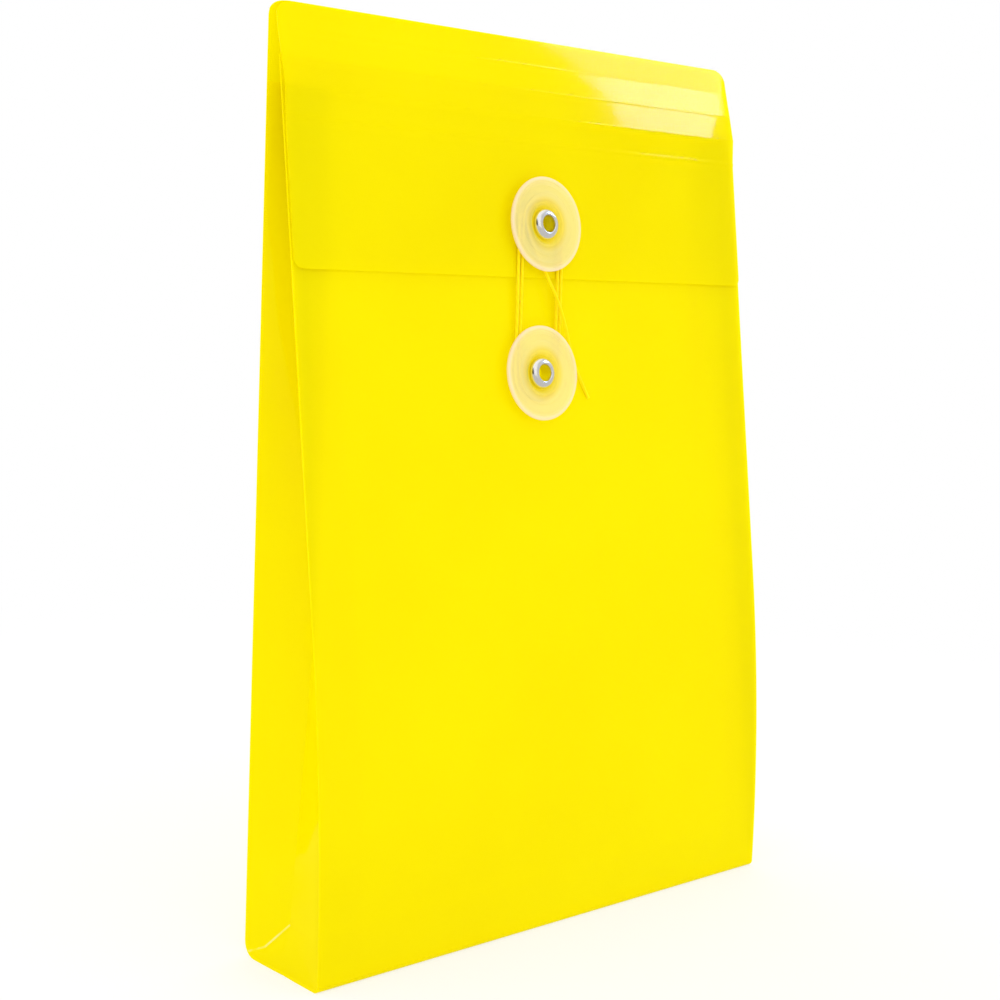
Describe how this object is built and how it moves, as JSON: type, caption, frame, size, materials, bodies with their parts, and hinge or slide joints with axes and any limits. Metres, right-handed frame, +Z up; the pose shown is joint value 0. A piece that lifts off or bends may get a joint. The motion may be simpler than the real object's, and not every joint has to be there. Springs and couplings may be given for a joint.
{
  "type": "string tie envelope",
  "caption": "Translucent plastic film envelope with folding side gussets, a scored flap, and a string wound round two button discs to close it.",
  "frame": {"origin": "centre of the bottom panel's underside, where the envelope stands", "axes": "+Z up from the bottom panel to the top fold, -Y out of the front with its buttons, +X to the right"},
  "size_m": [0.161, 0.031, 0.2349],
  "materials": {
    "film": "glossy translucent yellow polypropylene sheet",
    "disc": "frosted translucent moulded plastic",
    "eyelet": "bright nickel plate",
    "string": "yellow twisted cord"
  },
  "bodies": {
    "back": {"back_panel": "film", "bottom_rear_half": "film", "bottom_front_half": "film", "left_gusset": "film", "right_gusset": "film"},
    "front": {"front_panel": "film", "left_weld_tab": "film", "right_weld_tab": "film", "lower_eyelet": "eyelet"},
    "lower_button": {"lower_disc": "disc"},
    "fold": {"top_fold": "film"},
    "flap": {"spine_strip_1": "film", "spine_strip_2": "film", "spine_strip_3": "film", "spine_strip_4": "film", "flap": "film", "upper_eyelet": "eyelet", "string_winding": "string", "string_tail": "string", "string_knot": "string"},
    "upper_button": {"upper_disc": "disc"}
  },
  "joints": [
    {"name": "gusset_fold", "type": "hinge", "parent": "back", "child": "front", "pos_m": [0, -0.0034, 0.267], "axis": [-1, 0, 0], "range_deg": [-5.2, 0], "deforming": ["left_gusset", "right_gusset", "bottom_rear_half", "bottom_front_half"]},
    {"name": "top_crease", "type": "hinge", "parent": "back", "child": "fold", "pos_m": [0, 0.01535, 0.23281], "axis": [-1, 0, 0], "range_deg": [-7.3, 0]},
    {"name": "flap_fold", "type": "hinge", "parent": "fold", "child": "flap", "pos_m": [0, 0.01364, 0.23485], "axis": [-1, 0, 0], "range_deg": [0, 170], "deforming": ["string_winding", "string_tail"]},
    {"name": "upper_disc_spin", "type": "hinge", "parent": "flap", "child": "upper_button", "pos_m": [0, 0.00418, 0.18623], "axis": [0, -0.9894, 0.1453], "continuous": true},
    {"name": "lower_disc_spin", "type": "hinge", "parent": "front", "child": "lower_button", "pos_m": [-0.0034, -0.00047, 0.14729], "axis": [0, -0.9894, 0.1453], "continuous": true}
  ],
  "couplings": [
    {"joint": "top_crease", "follows": "gusset_fold", "ratio": 1.4}
  ]
}
